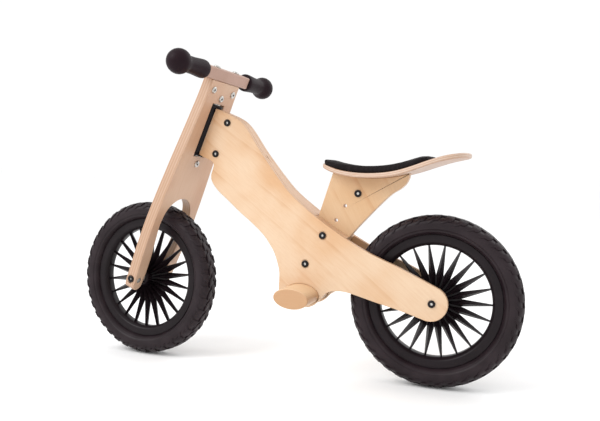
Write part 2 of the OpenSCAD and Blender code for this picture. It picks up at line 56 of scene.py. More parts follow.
class Part(Enum):
    """The bodies that pieces ride on."""

    FRAME = "frame"
    FORK = "fork"
    FRONT_WHEEL = "front_wheel"
    REAR_WHEEL = "rear_wheel"


class Run(Enum):
    """Which way a board's grain runs, as a turn about the bike's Y axis in degrees."""

    ALONG_FRAME = -38.0
    UP_POST = -62.0
    UP_FORK = -111.7
    LENGTHWISE = 0.0


# ---- materials ----

def linear(colour: str) -> tuple[float, float, float, float]:
    """Turns an sRGB hex colour into the linear colour that shaders take.

    Args:
        colour: the colour as "#RRGGBB".

    Returns:
        Linear red, green, blue and an alpha of 1.
    """
    parts = [int(colour[i:i + 2], 16) / 255 for i in (1, 3, 5)]
    low = [c / 12.92 if c <= 0.04045 else ((c + 0.055) / 1.055) ** 2.4 for c in parts]
    return (low[0], low[1], low[2], 1.0)


def add(tree: bpy.types.NodeTree, kind: str, sockets: dict | None = None,
        **settings: object) -> bpy.types.Node:
    """Adds a node with its settings, values and links.

    Args:
        tree: the node tree it goes in.
        kind: the node's type name.
        sockets: input name or number to a value, or to the output socket that is linked there.
        settings: attributes of the node itself.

    Returns:
        The new node.
    """
    node = tree.nodes.new(kind)
    for name, value in settings.items():
        setattr(node, name, value)
    for name, value in (sockets or {}).items():
        if isinstance(value, bpy.types.NodeSocket):
            tree.links.new(value, node.inputs[name])
        else:
            node.inputs[name].default_value = value
    return node


def ramp(tree: bpy.types.NodeTree, fac: bpy.types.NodeSocket, low: float,
         high: float) -> bpy.types.NodeSocket:
    """Maps a value from low..high to 0..1, smoothly.

    Args:
        tree: the node tree.
        fac: the value.
        low: what becomes 0.
        high: what becomes 1.

    Returns:
        The mapped value's socket.
    """
    node = add(tree, "ShaderNodeMapRange", {"Value": fac, "From Min": low, "From Max": high},
               interpolation_type="SMOOTHSTEP")
    return node.outputs[0]


def blend(tree: bpy.types.NodeTree, fac: bpy.types.NodeSocket | float, a: object, b: object,
          how: str = "MIX") -> bpy.types.NodeSocket:
    """Mixes two colours.

    Args:
        tree: the node tree.
        fac: how much of b, as a socket or a number.
        a: the first colour, a socket or a linear colour.
        b: the second colour.
        how: the Mix node's blend type.

    Returns:
        The mixed colour's socket.
    """
    node = add(tree, "ShaderNodeMix", {0: fac, 6: a, 7: b}, data_type="RGBA", blend_type=how)
    return node.outputs[2]


def maths(tree: bpy.types.NodeTree, how: str, a: object, b: object = 0.0) -> bpy.types.NodeSocket:
    """One Math node.

    Args:
        tree: the node tree.
        how: its operation.
        a: first value or socket.
        b: second value or socket.

    Returns:
        The result's socket.
    """
    return add(tree, "ShaderNodeMath", {0: a, 1: b}, operation=how).outputs[0]


def fresh(name: str) -> tuple[bpy.types.Material, bpy.types.NodeTree, bpy.types.Node]:
    """Starts a material with only a Principled shader.

    Args:
        name: the material's name.

    Returns:
        The material, its node tree and its shader.
    """
    material = bpy.data.materials.new(name)
    material.use_nodes = True
    tree = material.node_tree
    tree.nodes.clear()
    shader = add(tree, "ShaderNodeBsdfPrincipled")
    add(tree, "ShaderNodeOutputMaterial", {"Surface": shader.outputs[0]})
    return material, tree, shader


def bump(tree: bpy.types.NodeTree, shader: bpy.types.Node, height: bpy.types.NodeSocket, depth_mm: float,
         strength: float = 1.0) -> None:
    """Puts a bump on the shader.

    Args:
        tree: the node tree.
        shader: the Principled shader.
        height: 0 to 1 height.
        depth_mm: how deep 1 is, in millimetres.
        strength: how much of it shows.
    """
    node = add(tree, "ShaderNodeBump", {"Height": height, "Distance": depth_mm * MM, "Strength": strength})
    tree.links.new(node.outputs[0], shader.inputs["Normal"])


@dataclass(frozen=True)
class Birch:
    """Birch plywood under clear satin varnish: pale faces with faint growth lines, and plies on cut edges.

    A solid beech piece is the same with plies thicker than itself.
    """

    name: str
    run: Run = Run.ALONG_FRAME
    pale: str = "#D8BC9E"
    warm: str = "#CCA177"
    growth: str = "#B98556"
    edge_pale: str = "#DCBA9C"
    edge_dark: str = "#C39A76"
    ply_mm: float = 2.6         # real plies are 1.4 mm, drawn wider so that they show
    line_mm: float = 34.0       # spacing of the growth lines
    pore_mm: float = 0.9        # width of the fine grain, drawn wider than the real 0.3 mm
    varnish: float = 0.25
    grain_mm: float = 0.12      # depth of the fine grain under the varnish

    def make(self) -> bpy.types.Material:
        """Builds the material.

        Returns:
            The finished material.
        """
        material, tree, shader = fresh(self.name)
        coords = add(tree, "ShaderNodeTexCoord").outputs["Object"]
        along = (0.0, math.radians(self.run.value), 0.0)
        turned = add(tree, "ShaderNodeMapping", {"Vector": coords, "Rotation": along},
                     vector_type="TEXTURE").outputs[0]
        # long streaks: coordinates in mm, squeezed along the grain
        streak = add(tree, "ShaderNodeMapping",
                     {"Vector": turned, "Scale": (60.0, 1000.0, 1000.0)}).outputs[0]
        fine = add(tree, "ShaderNodeTexNoise", {"Vector": streak, "Scale": 0.5 / self.pore_mm,
                                                "Detail": 3.0}).outputs[0]
        # pale and warm areas about a hand wide
        broad = add(tree, "ShaderNodeTexNoise", {"Vector": turned, "Scale": 9.0, "Detail": 2.0}).outputs[0]
        # growth lines: a saw wave across the grain, bowed and strongest in the warm areas
        bow = add(tree, "ShaderNodeMapping", {"Vector": turned, "Scale": (0.22, 1.0, 1.0)}).outputs[0]
        waves = {"Vector": bow, "Scale": 0.3 / (self.line_mm * MM), "Distortion": 11.0, "Detail": 1.5,
                 "Detail Scale": 0.5, "Detail Roughness": 0.4}
        rings = add(tree, "ShaderNodeTexWave", waves, wave_type="BANDS", bands_direction="Z",
                    wave_profile="SAW").outputs[1]
        line = maths(tree, "MULTIPLY", ramp(tree, rings, 0.8, 1.0), ramp(tree, broad, 0.3, 0.7))
        # short flecks where rays of the wood meet the face
        fleck = add(tree, "ShaderNodeMapping", {"Vector": turned, "Scale": (160.0, 900.0, 900.0)}).outputs[0]
        spots = add(tree, "ShaderNodeTexNoise", {"Vector": fleck, "Scale": 0.7, "Detail": 1.0}).outputs[0]
        flecks = ramp(tree, spots, 0.66, 0.78)
        face = blend(tree, ramp(tree, broad, 0.3, 0.72), linear(self.pale), linear(self.warm))
        face = blend(tree, maths(tree, "MULTIPLY", line, 0.55), face, linear(self.growth))
        streaks = maths(tree, "MULTIPLY", ramp(tree, fine, 0.35, 0.75), 0.16)
        face = blend(tree, streaks, face, linear(self.growth))
        face = blend(tree, maths(tree, "MULTIPLY", flecks, 0.14), face, linear(self.edge_dark))
        depth = add(tree, "ShaderNodeAttribute", attribute_name="ply_depth").outputs["Fac"]
        plies = maths(tree, "PINGPONG", maths(tree, "DIVIDE", depth, self.ply_mm), 1.0)
        end = blend(tree, ramp(tree, plies, 0.3, 0.7), linear(self.edge_pale), linear(self.edge_dark))
        end = blend(tree, maths(tree, "MULTIPLY", ramp(tree, fine, 0.3, 0.8), 0.25), end, linear(self.growth))
        cut = add(tree, "ShaderNodeAttribute", attribute_name="cut_edge").outputs["Fac"]
        colour = blend(tree, cut, face, end)
        tree.links.new(colour, shader.inputs["Base Color"])
        rough = add(tree, "ShaderNodeMapRange", {"Value": fine, "To Min": 0.42, "To Max": 0.58}).outputs[0]
        tree.links.new(rough, shader.inputs["Roughness"])
        shader.inputs["Coat Weight"].default_value = self.varnish
        shader.inputs["Coat Roughness"].default_value = 0.32
        bump(tree, shader, fine, self.grain_mm, 0.35)
        return material


@dataclass(frozen=True)
class Foam:
    """Moulded EVA foam or rubber: dark brown-black, matte, with a fine skin of pores."""

    name: str
    base: str = "#1D1317"
    worn: str = "#281E22"
    grain_mm: float = 1.6
    rough: float = 0.42
    pore_mm: float = 0.25
    gloss: float = 0.3

    def make(self) -> bpy.types.Material:
        """Builds the material.

        Returns:
            The finished material.
        """
        material, tree, shader = fresh(self.name)
        coords = add(tree, "ShaderNodeTexCoord").outputs["Object"]
        pores = add(tree, "ShaderNodeTexNoise", {"Vector": coords, "Scale": 1 / (self.grain_mm * MM),
                                                 "Detail": 3.0, "Roughness": 0.6}).outputs[0]
        cloud = add(tree, "ShaderNodeTexNoise", {"Vector": coords, "Scale": 28.0, "Detail": 2.0}).outputs[0]
        colour = blend(tree, ramp(tree, cloud, 0.3, 0.75), linear(self.base), linear(self.worn))
        tree.links.new(colour, shader.inputs["Base Color"])
        spread = add(tree, "ShaderNodeMapRange", {"Value": pores, "To Min": self.rough - 0.08,
                                                  "To Max": self.rough + 0.12}).outputs[0]
        tree.links.new(spread, shader.inputs["Roughness"])
        shader.inputs["Specular IOR Level"].default_value = self.gloss
        bump(tree, shader, pores, self.pore_mm, 0.5)
        return material


@dataclass(frozen=True)
class Metal:
    """Zinc plate or black oxide on steel: soft blotches in the gloss, from the bath it was dipped in."""

    name: str
    base: str = "#C4C2BE"
    metallic: float = 1.0
    rough: float = 0.28

    def make(self) -> bpy.types.Material:
        """Builds the material.

        Returns:
            The finished material.
        """
        material, tree, shader = fresh(self.name)
        coords = add(tree, "ShaderNodeTexCoord").outputs["Object"]
        blotch = add(tree, "ShaderNodeTexNoise", {"Vector": coords, "Scale": 420.0, "Detail": 2.0}).outputs[0]
        shader.inputs["Base Color"].default_value = linear(self.base)
        shader.inputs["Metallic"].default_value = self.metallic
        spread = add(tree, "ShaderNodeMapRange", {"Value": blotch, "To Min": self.rough - 0.07,
                                                  "To Max": self.rough + 0.12}).outputs[0]
        tree.links.new(spread, shader.inputs["Roughness"])
        bump(tree, shader, blotch, 0.03, 0.3)
        return material


@dataclass(frozen=True)
class Weave:
    """Plain woven polyester cover over foam: a small over-and-under weave with a soft sheen."""

    name: str
    dark: str = "#120D0E"
    light: str = "#221B1D"
    thread_mm: float = 1.1      # real threads are about 0.4 mm, drawn coarser so that they show

    def make(self) -> bpy.types.Material:
        """Builds the material.

        Returns:
            The finished material.
        """
        material, tree, shader = fresh(self.name)
        coords = add(tree, "ShaderNodeTexCoord").outputs["Object"]
        thread = {"Vector": coords, "Scale": 0.5 / (self.thread_mm * MM) / math.pi, "Distortion": 0.6,
                  "Detail Scale": 2.0}
        warp, weft = [add(tree, "ShaderNodeTexWave", thread, wave_type="BANDS",
                          bands_direction=way).outputs[1] for way in ("X", "Y")]
        cloth = maths(tree, "MULTIPLY", warp, weft)
        colour = blend(tree, cloth, linear(self.dark), linear(self.light))
        tree.links.new(colour, shader.inputs["Base Color"])
        shader.inputs["Roughness"].default_value = 0.85
        shader.inputs["Specular IOR Level"].default_value = 0.2
        shader.inputs["Sheen Weight"].default_value = 0.03
        shader.inputs["Sheen Roughness"].default_value = 0.4
        bump(tree, shader, cloth, 0.35, 0.6)
        return material


# ---- meshes ----

@dataclass
class Bench:
    """Makes pieces: turns meshes into objects that ride on a body, with a material."""

    made: int = 0

    def finish(self, mesh: bmesh.types.BMesh, name: str, part: Part, material: bpy.types.Material,
               nodes: Sequence[str] = (), smooth_deg: float = 35.0) -> bpy.types.Object:
        """Ends a piece.

        Args:
            mesh: its mesh, in the bike's own place.
            name: the piece's name.
            part: the body it rides on.
            material: its finish.
            nodes: the CAD nodes it stands for.
            smooth_deg: edges that turn less than this are shaded smooth.

        Returns:
            The piece's object.
        """
        data = bpy.data.meshes.new(name)
        mesh.normal_update()
        mesh.to_mesh(data)
        mesh.free()
        piece = bpy.data.objects.new(name, data)
        bpy.context.scene.collection.objects.link(piece)
        data.shade_smooth()
        data.set_sharp_from_angle(angle=math.radians(smooth_deg))
        data.materials.append(material)
        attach(piece, part.value)
        if nodes:
            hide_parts(*nodes)
        self.made += 1
        log.info("piece %s: %d faces, for %s", name, len(data.polygons), ", ".join(nodes) or "looks only")
        return piece


def copied(nodes: Sequence[str], weld_mm: float = 0.01) -> bmesh.types.BMesh:
    """Copies CAD nodes into one clean mesh, with flat areas as single faces.

    Args:
        nodes: the CAD nodes.
        weld_mm: points closer than this become one.

    Returns:
        The mesh.
    """
    mesh = bmesh.new()
    for node in nodes:
        mesh.from_mesh(frame["nodes"][node].data)
    bmesh.ops.remove_doubles(mesh, verts=mesh.verts, dist=weld_mm * MM)
    bmesh.ops.dissolve_limit(mesh, angle_limit=math.radians(0.6), verts=mesh.verts, edges=mesh.edges)
    return mesh


def soften(mesh: bmesh.types.BMesh, width_mm: float, segments: int = 3, angle_deg: float = 42.0) -> None:
    """Rounds a mesh's sharp outward edges.

    Args:
        mesh: the mesh.
        width_mm: how wide the rounding is.
        segments: steps in it.
        angle_deg: edges that turn more than this are rounded.
    """
    mesh.normal_update()
    sharp = [e for e in mesh.edges if len(e.link_faces) == 2 and e.is_convex
             and e.calc_face_angle(0.0) > math.radians(angle_deg)]
    bmesh.ops.bevel(mesh, geom=sharp, offset=width_mm * MM, offset_type="OFFSET", segments=segments,
                    profile=0.5, affect="EDGES", clamp_overlap=False, material=-1)


def turned(profile: Sequence[tuple[float, float]], steps: int) -> bmesh.types.BMesh:
    """Turns a profile about the Y axis, as on a lathe.

    Args:
        profile: points as radius and Y, in mm. A radius of 0 closes the shape there.
        steps: how many steps go round.

    Returns:
        The mesh, closed where the profile ends on the axis or on itself.
    """
    mesh = bmesh.new()
    points = [mesh.verts.new((r * MM, y * MM, 0.0)) for r, y in profile]
    edges = [mesh.edges.new(pair) for pair in zip(points[:-1], points[1:])]
    bmesh.ops.spin(mesh, geom=points + edges, cent=(0, 0, 0), axis=(0, 1, 0), dvec=(0, 0, 0), angle=math.tau,
                   steps=steps, use_merge=True, use_duplicate=False)
    bmesh.ops.remove_doubles(mesh, verts=mesh.verts, dist=0.004 * MM)
    bmesh.ops.recalc_face_normals(mesh, faces=mesh.faces)
    return mesh


def move(mesh: bmesh.types.BMesh, place: Matrix) -> bmesh.types.BMesh:
    """Moves a whole mesh.

    Args:
        mesh: the mesh.
        place: where it goes.

    Returns:
        The same mesh.
    """
    bmesh.ops.transform(mesh, matrix=place, verts=mesh.verts)
    return mesh


def joined(meshes: Sequence[bmesh.types.BMesh]) -> bmesh.types.BMesh:
    """Puts several meshes into one, and frees them.

    Args:
        meshes: the meshes.

    Returns:
        The mesh that holds them all.
    """
    whole = bmesh.new()
    for mesh in meshes:
        data = bpy.data.meshes.new("passing")
        mesh.to_mesh(data)
        mesh.free()
        whole.from_mesh(data)
        bpy.data.meshes.remove(data)
    return whole


def joint(name: str) -> dict:
    """The record's joint of that name."""
    return next(j for j in frame["joints"] if j["name"] == name)


def fork_place() -> Matrix:
    """Where the fork stands: local X forward, Y along the front axle, Z up the steering axis.

    Returns:
        The fork's place in the bike.
    """
    up = Vector(joint("steering")["axis"]).normalized()
    side = Vector(joint("front_wheel_spin")["axis"]).normalized()
    ahead = side.cross(up).normalized()
    turn = Matrix((ahead, side, up)).transposed().to_4x4()
    return Matrix.Translation(joint("front_wheel_spin")["pos_m"]) @ turn


# ---- wooden parts ----

@dataclass
class Board:
    """A wooden part: a CAD node with softened edges, and its plies measured through its thickness."""

    node: str
    part: Part
    material: bpy.types.Material
    depth: Callable[[Vector], float]        # how deep a point is in the board, in metres
    across: Callable[[Vector], Vector]      # the way through the board there
    round_mm: float = 1.2
    slot: str = "plywood"
    edge_lean: float = 0.35     # faces whose normal leans less than this to the way through are cut edges
    face_lean: float = 0.85     # and more than this, veneer

    def build(self, bench: Bench) -> bpy.types.Object:
        """Builds the piece.

        Args:
            bench: where pieces are made.

        Returns:
            The piece.
        """
        mesh = copied([self.node])
        soften(mesh, self.round_mm)
        plies = mesh.verts.layers.float.new("ply_depth")
        cuts = mesh.faces.layers.float.new("cut_edge")
        mesh.normal_update()
        for vert in mesh.verts:
            vert[plies] = self.depth(vert.co) / MM
        for face in mesh.faces:
            lean = abs(face.normal.dot(self.across(face.calc_center_median())))
            veneer = (lean - self.edge_lean) / (self.face_lean - self.edge_lean)
            face[cuts] = 1.0 - min(max(veneer, 0.0), 1.0)
        piece = bench.finish(mesh, self.node + "_birch", self.part, self.material, [self.node])
        level = piece.modifiers.new("even_shading", "WEIGHTED_NORMAL")
        level.keep_sharp = True
        return piece


@dataclass
class WoodenFrame:
    """The two bent plates, the filler between them, the seat post and the boards beside it."""

    rear_half_mm: float = 37.5
    head_half_mm: float = 17.5
    bend_from_mm: float = -153.0
    bend_to_mm: float = 94.34

    def half(self, x: float) -> float:
        """The half width over the plates, which bend in towards the head.

        Args:
            x: the place along the bike, in metres.

        Returns:
            The half width there, in metres.
        """
        share = (x / MM - self.bend_from_mm) / (self.bend_to_mm - self.bend_from_mm)
        share = min(max(share, 0.0), 1.0)
        share = share * share * (3 - 2 * share)
        return (self.rear_half_mm + (self.head_half_mm - self.rear_half_mm) * share) * MM

    def build(self, bench: Bench, face: bpy.types.Material, post: bpy.types.Material) -> None:
        """Builds the pieces.

        Args:
            bench: where pieces are made.
            face: the plates' finish.
            post: the seat post's finish.
        """
        side = lambda _: Vector((0, 1, 0))
        for node in ("plate_left", "plate_right"):
            Board(node, Part.FRAME, face, lambda p: self.half(p.x) - abs(p.y), side, 1.6).build(bench)
        Board("frame_core", Part.FRAME, face, lambda p: p.y, side, 0.5).build(bench)
        for node in ("cheek_left", "cheek_right"):
            Board(node, Part.FRAME, face, lambda p: p.y, side, 0.5).build(bench)
        Board("seat_post", Part.FRAME, post, lambda p: p.y, side, 1.2).build(bench)


@dataclass
class Seat:
    """The bent seat board and the padded cover on it."""

    reach_mm: float = 4.0       # how far each way the board's slope is read
    swell_mm: float = 1.8       # the most that a point of the cover may move
    shrink_mm: float = 0.3
    voxel_mm: float = 2.6
    pressure: float = 4.0
    last_frame: int = 14

    def board(self, bench: Bench, wood: bpy.types.Material) -> None:
        """Builds the bent board.

        Args:
            bench: where pieces are made.
            wood: its finish.
        """
        rows: dict[int, float] = {}
        for vert in frame["nodes"]["seat_board"].data.vertices:
            key = round(vert.co.x / MM)
            rows[key] = min(rows.get(key, 1.0), vert.co.z)
        xs = sorted(rows)
        zs = [rows[x] for x in xs]

        def height(p: Vector) -> float:
            """How far a point is above the board's underside."""
            return p.z - float(np.interp(p.x / MM, xs, zs))

        def upward(p: Vector) -> Vector:
            """The board's own upward direction there.

            Args:
                p: a point of the board.

            Returns:
                The direction, of length 1.
            """
            x, r = p.x / MM, self.reach_mm
            rise = float(np.interp(x + r, xs, zs) - np.interp(x - r, xs, zs)) / (2 * r * MM)
            return Vector((-rise, 0, 1)).normalized()

        Board("seat_board", Part.FRAME, wood, height, upward, 2.6).build(bench)

    def pad(self, bench: Bench, cover: bpy.types.Material) -> None:
        """Builds the pad: a foam slab in a fabric cover, puffed a little by cloth simulation.

        Args:
            bench: where pieces are made.
            cover: the fabric.
        """
        mesh = copied(["seat_pad"])
        soften(mesh, 2.0, 2)
        mesh.normal_update()
        for vert in mesh.verts:
            vert.co -= vert.normal * self.shrink_mm * MM
        bmesh.ops.triangulate(mesh, faces=mesh.faces)
        data = bpy.data.meshes.new("seat_pad_cover")
        mesh.to_mesh(data)
        mesh.free()
        pad = bpy.data.objects.new("seat_pad_cover", data)
        bpy.context.scene.collection.objects.link(pad)
        even = pad.modifiers.new("even", "REMESH")
        even.mode, even.voxel_size, even.use_smooth_shade = "VOXEL", self.voxel_mm * MM, True
        self.bake(pad)
        start = np.array([v.co for v in pad.data.vertices])
        self.puff(pad)
        end = np.array([v.co for v in pad.data.vertices])
        step = end - start
        length = np.linalg.norm(step, axis=1, keepdims=True)
        limit = self.swell_mm * MM
        end = start + step * np.minimum(1.0, limit / np.maximum(length, 1e-9))
        pad.data.vertices.foreach_set("co", end.astype(np.float32).ravel())
        bm = bmesh.new()
        bm.from_mesh(pad.data)
        for _ in range(2):
            bmesh.ops.smooth_vert(bm, verts=bm.verts, factor=0.5, use_axis_x=True, use_axis_y=True,
                                  use_axis_z=True)
        bpy.data.objects.remove(pad)
        piece = bench.finish(bm, "seat_pad_cover", Part.FRAME, cover, ["seat_pad"], 80.0)
        fine = piece.modifiers.new("fine", "SUBSURF")
        fine.levels = fine.render_levels = 1

    def bake(self, piece: bpy.types.Object) -> None:
        """Applies a piece's modifiers to its mesh.

        Args:
            piece: the piece, which ends with no modifiers.
        """
        graph = bpy.context.evaluated_depsgraph_get()
        graph.update()
        baked = bpy.data.meshes.new_from_object(piece.evaluated_get(graph))
        piece.modifiers.clear()
        piece.data = baked

    def puff(self, piece: bpy.types.Object) -> None:
        """Runs the cloth simulation that swells the cover, and applies it.

        Args:
            piece: the cover.
        """
        cloth = piece.modifiers.new("cover", "CLOTH")
        cloth.settings.use_pressure = True
        cloth.settings.uniform_pressure_force = self.pressure
        cloth.settings.effector_weights.gravity = 0.0
        cloth.settings.quality = 5
        scene = bpy.context.scene
        scene.frame_start, scene.frame_end = 1, self.last_frame
        for number in range(1, self.last_frame + 1):
            scene.frame_set(number)
        self.bake(piece)
        scene.frame_set(1)


# ---- wheels ----

@dataclass
class Tyre:
    """A 12 inch foam tyre: a smooth sidewall and shoulder blocks that stand a little proud."""

    core_mm: float = 131.0
    crown_mm: float = 15.2
    inner_mm: float = 17.0
    half_mm: float = 23.7
    square: float = 0.8
    blocks: int = 39
    rise_mm: float = 3.2
    bead_mm: float = 115.2
    bead_half_mm: float = 11.9
    line_mm: float = 0.9        # depth of the line round each sidewall

    def skin(self, angle: float, above: float) -> tuple[float, float]:
        """A point on the tyre's section.

        Args:
            angle: from the crown (0) to the sidewall (90), in degrees.
            above: how far off the skin, in mm.

        Returns:
            Its radius and Y, in mm.
        """
        c, s = math.cos(math.radians(angle)), math.sin(math.radians(angle))
        out = self.crown_mm if c > 0 else self.inner_mm
        radius = self.core_mm + math.copysign(abs(c) ** self.square, c) * out
        across = math.copysign(abs(s) ** self.square, s) * self.half_mm
        return radius + c * above, across + s * above

    def carcass(self) -> bmesh.types.BMesh:
        """The plain round under the blocks, with a moulded line round each sidewall.

        Returns:
            The mesh.
        """
        ring = []
        for angle in range(-152, 153, 6):
            dent = self.line_mm if abs(angle) in (112, 118) else 0.0
            ring.append(self.skin(angle, -dent))
        bead, half = self.bead_mm, self.bead_half_mm
        ring += [(bead, half), (bead - 3.0, half), (bead - 3.0, -half), (bead, -half)]
        return turned(ring + ring[:1], 184)

    def block(self, centre: float, reach: float, low: float, high: float, lean: float,
              narrow: float, rise: float) -> bmesh.types.BMesh:
        """One tread block, wrapped on the tyre's skin.

        Args:
            centre: its place round the tyre, in degrees.
            reach: its half width round the tyre, in degrees.
            low: the section angle where it starts.
            high: the section angle where it ends.
            lean: how far its far end is shifted round the tyre, in degrees.
            narrow: its width at the far end, as a share of that at the near end.
            rise: its height off the skin, in mm.

        Returns:
            The block.
        """
        mesh = bmesh.new()
        bmesh.ops.create_cube(mesh, size=2.0)
        bmesh.ops.bevel(mesh, geom=mesh.edges, offset=0.28, offset_type="OFFSET", segments=1, profile=0.5,
                        affect="EDGES", clamp_overlap=True, material=-1)
        for vert in mesh.verts:
            u, v, w = vert.co
            share = (v + 1) / 2
            turn = math.radians(centre + u * reach * (1 + (narrow - 1) * share) + lean * share)
            above = (w + 1) / 2 * rise * (1 - 0.45 * share) - 0.8 * (1 - w) / 2
            radius, across = self.skin(low + (high - low) * share, above)
            vert.co = Vector((radius * math.sin(turn), across, radius * math.cos(turn))) * MM
        bmesh.ops.recalc_face_normals(mesh, faces=mesh.faces)
        return mesh

    def build(self) -> bmesh.types.BMesh:
        """Builds the whole tyre about the Y axis, at the origin.

        Returns:
            The tyre's mesh.
        """
        pitch, rise = 360 / self.blocks, self.rise_mm
        parts = [self.carcass()]
        for k in range(self.blocks):
            for side in (1, -1):
                # the two sides stand half a pitch apart
                turn = k * pitch + (0.0 if side > 0 else pitch / 2)
                parts.append(self.block(turn, pitch * 0.33, side * 22, side * 60, pitch * 0.12, 0.8, rise))
                parts.append(self.block(turn + pitch * 0.2, pitch * 0.15, side * 54, side * 78, pitch * 0.34,
                                        0.8, rise * 0.66))
                parts.append(self.block(turn, pitch * 0.33, side * -17, side * 2, pitch * 0.3,
                                        1.0, rise * 0.9))
        return joined(parts)


@dataclass
class Rim:
    """A moulded rim with long kite-shaped spokes that run together into a ridged hub."""

    spokes: int = 22
    hub_half_mm: float = 26.0
    join_mm: float = 45.0
    inner_mm: float = 96.6
    half_mm: float = 13.9
    bead_mm: float = 115.2

    def band(self) -> bmesh.types.BMesh:
        """The rim's ring: a sloping inner face, a rounded lip on each side, and a bed for the tyre.

        Returns:
            The mesh.
        """
        r, b, h = self.inner_mm, self.bead_mm, self.half_mm
        slope = [(r, 0.0), (r, 6.6), (r + 0.5, 7.6), (r + 4.0, h - 1.6), (r + 5.2, h - 0.6),
                 (r + 7.0, h - 0.1)]
        lip = [(b - 2.2, h), (b - 0.7, h - 0.2), (b - 0.2, h - 0.9), (b - 0.2, h - 1.7), (b - 3.2, h - 1.9)]
        half = slope + lip
        ring = half + [(radius, -y) for radius, y in reversed(half)]
        return turned(ring[:-1] + ring[:1], 132)

    def spoke(self) -> bmesh.types.BMesh:
        """One spoke along +X, with a ridge down each face, widest where it meets its neighbours.

        Returns:
            The mesh.
        """
        mesh = bmesh.new()
        bmesh.ops.create_circle(mesh, cap_ends=True, segments=4, radius=1.0)
        bmesh.ops.rotate(mesh, verts=mesh.verts, cent=(0, 0, 0), matrix=Matrix.Rotation(math.pi / 2, 3, "Y"))
        touch = math.pi / self.spokes       # half width over radius at which neighbours touch
        join, tip_at = self.join_mm, self.inner_mm + 1.5
        # along the spoke, half width, and height of the ridge
        stations = [(13.0, 13.0 * touch, self.hub_half_mm - 2.5), (24.0, 24.0 * touch, 16.5),
                    (join, join * touch, 10.5), (72.0, 3.9, 7.4), (tip_at, 1.5, 5.4)]
        for number, (along, wide, deep) in enumerate(stations):
            if number:
                tip = max(mesh.faces, key=lambda f: f.calc_center_median().x)
                grown = bmesh.ops.extrude_face_region(mesh, geom=[tip])["geom"]
                if tip.is_valid:
                    bmesh.ops.delete(mesh, geom=[tip], context="FACES_ONLY")
                ring = [g for g in grown if isinstance(g, bmesh.types.BMVert)]
            else:
                ring = list(mesh.verts)
            for vert in ring:
                # a four-cornered ring: two corners across, two on the ridges
                side = Vector((0.0, vert.co.y, vert.co.z))
                if abs(side.y) > abs(side.z):
                    vert.co = Vector((along, math.copysign(deep, side.y), 0.0))
                else:
                    vert.co = Vector((along, 0.0, math.copysign(wide, side.z)))
        bmesh.ops.scale(mesh, vec=(MM, MM, MM), verts=mesh.verts)
        bmesh.ops.recalc_face_normals(mesh, faces=mesh.faces)
        return mesh

    def hub(self) -> bmesh.types.BMesh:
        """The hub's barrel and the web that closes the spokes' roots.

        Returns:
            The mesh.
        """
        h, join = self.hub_half_mm, self.join_mm
        barrel = [(8.05, h - 0.6), (8.6, h), (12.6, h), (13.6, h - 0.8), (14.0, h - 2.4), (15.0, 12.0)]
        half = barrel + [(20.0, 7.0), (30.0, 4.0), (join, 2.5), (join + 0.4, 0.0)]
        ring = half + [(radius, -y) for radius, y in reversed(half[:-1])]
        return turned(ring + ring[:1], 88)

    def build(self) -> bmesh.types.BMesh:
        """Builds the whole rim about the Y axis, at the origin.

        Returns:
            The rim's mesh.
        """
        parts = [self.band(), self.hub()]
        for k in range(self.spokes):
            parts.append(move(self.spoke(), Matrix.Rotation(math.tau * k / self.spokes, 4, "Y")))
        return joined(parts)


@dataclass
class Wheel:
    """One wheel: its tyre and its rim."""

    end: str
    part: Part
    place: Matrix
    turn_deg: float = 0.0       # how far the wheel has rolled round from a spoke that points ahead

    def build(self, bench: Bench, foam: bpy.types.Material, moulding: bpy.types.Material) -> None:
        """Builds the wheel's pieces.

        Args:
            bench: where pieces are made.
            foam: the tyre's material.
            moulding: the rim's material.
        """
        bench.finish(move(Tyre().build(), self.place), self.end + "_tyre_foam", self.part, foam,
                     [self.end + "_tyre"], 32.0)
        rolled = self.place @ Matrix.Rotation(math.radians(self.turn_deg), 4, "Y")
        bench.finish(move(Rim().build(), rolled), self.end + "_rim_moulding", self.part, moulding,
                     [self.end + "_rim"], 28.0)


# ---- fork and handlebar ----

@dataclass
class Grip:
    """A rubber grip: a neck with a rounded inner end, and a ball to keep hands on."""

    start_mm: float = 71.0
    ball_mm: float = 22.2
    centre_mm: float = 148.0
    neck_mm: float = 14.9
    bore_mm: float = 11.1

    def build(self, bench: Bench, side: int, height: float, rubber: bpy.types.Material) -> None:
        """Builds one grip.

        Args:
            bench: where pieces are made.
            side: 1 for the left, -1 for the right.
            height: how far up the steering axis the bar is, in metres.
            rubber: the material.
        """
        s, n, b = self.start_mm, self.neck_mm, self.ball_mm
        meet = self.centre_mm - math.sqrt(b * b - n * n)
        first = math.degrees(math.asin(n / b))
        collar = [(self.bore_mm, s), (n - 2.2, s), (n - 0.4, s + 0.5), (n + 1.0, s + 1.7), (n + 1.8, s + 3.6)]
        neck = [(n + 2.1, s + 6.5), (n + 2.1, s + 10), (n + 1.8, s + 16), (n + 1.2, s + 24),
                (n + 0.5, s + 34), (n + 0.1, meet - 9), (n + 0.2, meet - 4), (n + 0.9, meet - 0.8)]
        profile = collar + neck
        for k in range(1, 13):
            angle = math.radians(180 - first - 5 - k * (180 - first - 5) / 12)
            profile.append((b * math.sin(angle), self.centre_mm + b * math.cos(angle)))
        profile[-1] = (0.0, self.centre_mm + b)
        profile += [(0.0, self.centre_mm + 0.8), (self.bore_mm, self.centre_mm + 0.8), (self.bore_mm, s)]
        mesh = turned(profile, 72)
        if side < 0:
            bmesh.ops.scale(mesh, vec=(1, -1, 1), verts=mesh.verts)
            bmesh.ops.recalc_face_normals(mesh, faces=mesh.faces)
        move(mesh, fork_place() @ Matrix.Translation((0, 0, height)))
        name = "left" if side > 0 else "right"
        bench.finish(mesh, "grip_" + name + "_rubber", Part.FORK, rubber, ["grip_" + name],
                     60.0)


